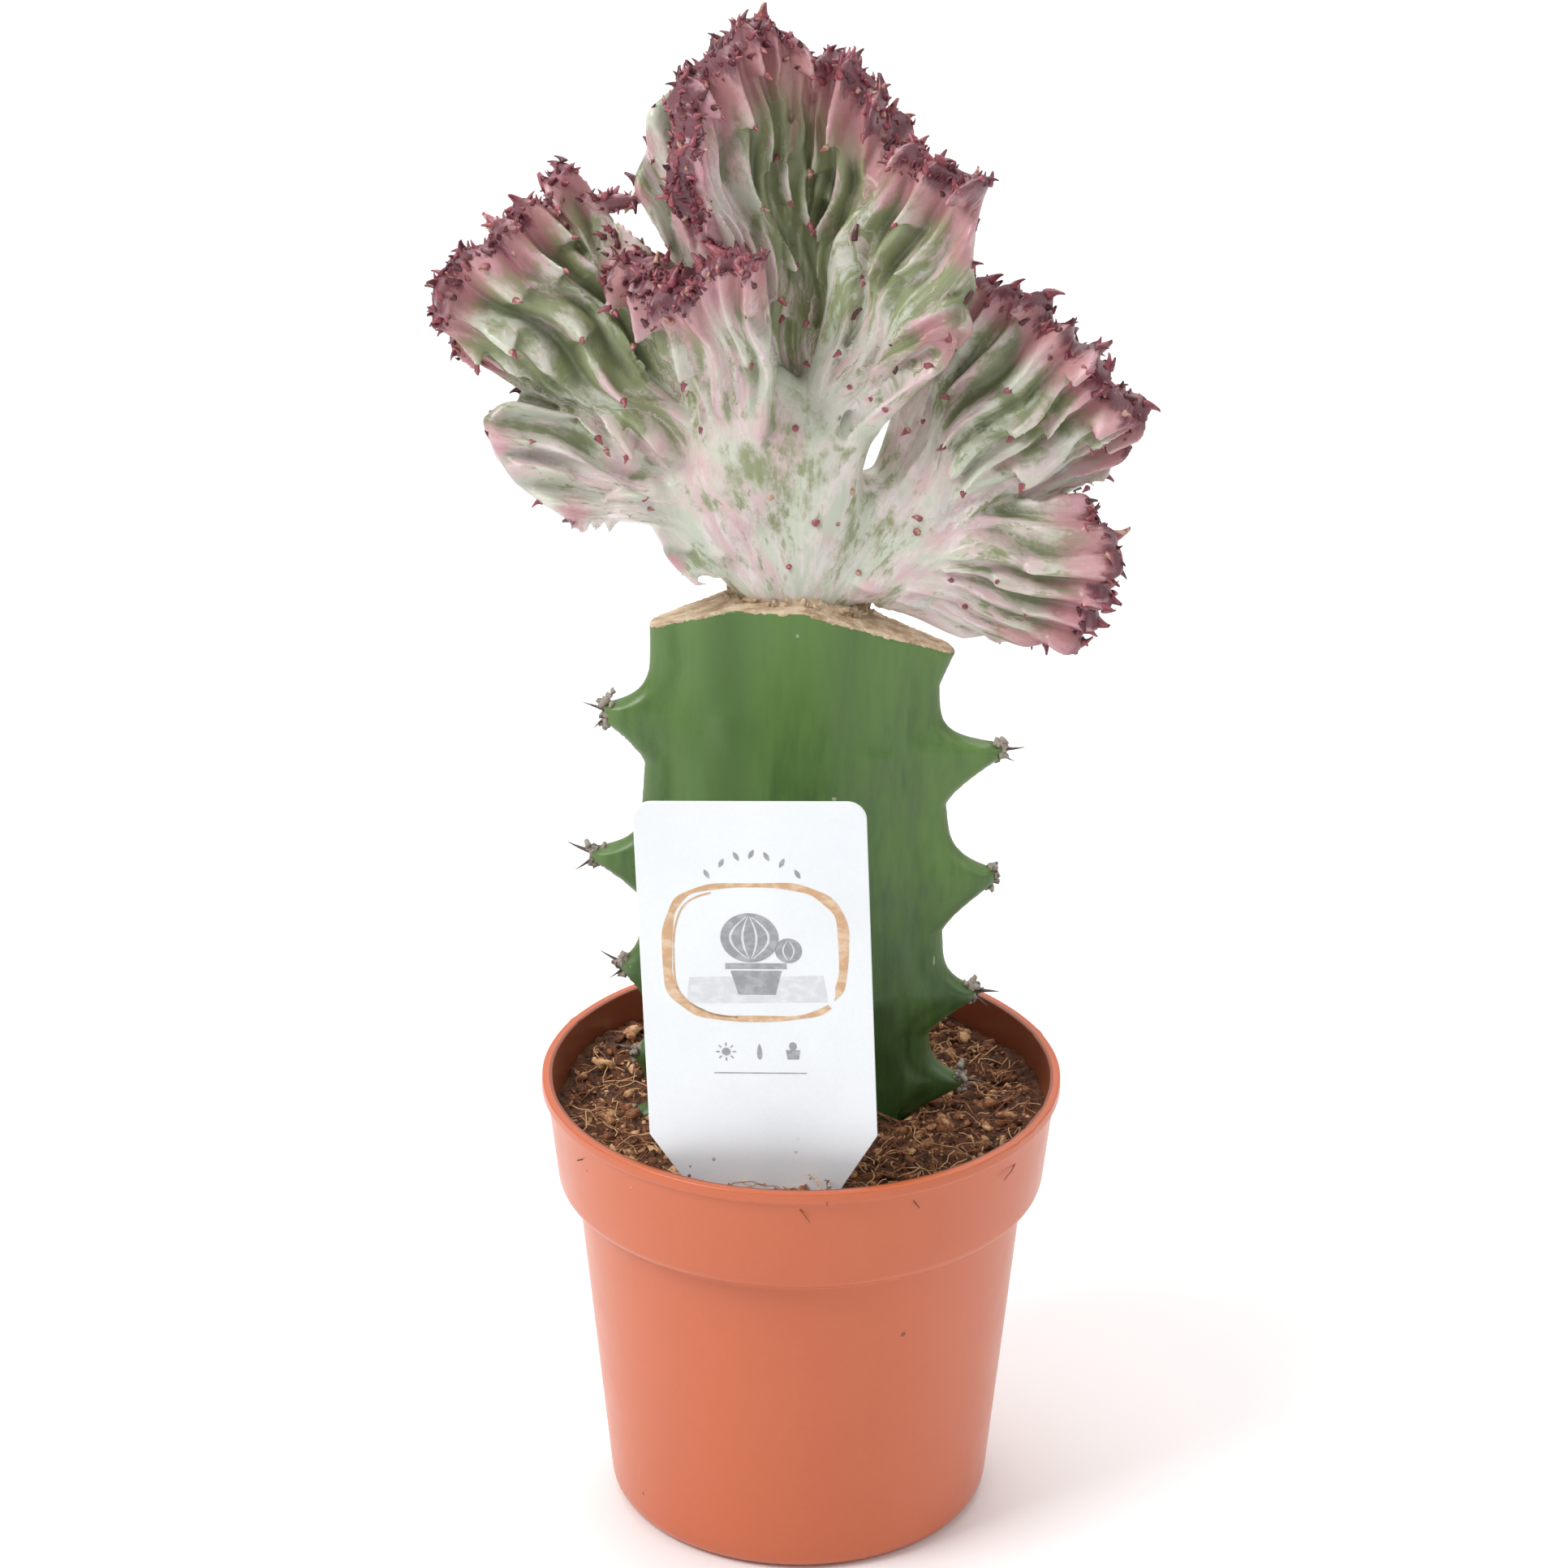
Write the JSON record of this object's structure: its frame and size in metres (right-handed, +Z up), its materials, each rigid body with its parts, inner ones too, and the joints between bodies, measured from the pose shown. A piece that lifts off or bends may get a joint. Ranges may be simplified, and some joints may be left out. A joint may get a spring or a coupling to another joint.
{
  "type": "potted grafted cactus-like houseplant",
  "caption": "Tall potted succulent: a wavy fan-shaped crest grafted on a three-winged toothed green stem, in a tapered round nursery pot of soil with a push-in label.",
  "frame": {"origin": "on the ground, at the centre of the pot's base", "axes": "+Z up along the pot's axis, -Y towards the side that the label stands on, +X to the right seen from that side"},
  "size_m": [0.1352, 0.105, 0.3138],
  "materials": {
    "pot_plastic": "satin terracotta-coloured polypropylene",
    "coir_soil": null,
    "stem_skin": "smooth waxy green plant skin, standing in as leather",
    "crest_skin": "waxy pale pink and green mottled plant skin with dark red growing edges",
    "label_plastic": "thin white printed plastic sheet"
  },
  "bodies": {
    "root": {"pot": "pot_plastic", "soil": "coir_soil", "rootstock": "stem_skin", "crest": "crest_skin", "label": "label_plastic"}
  },
  "joints": []
}
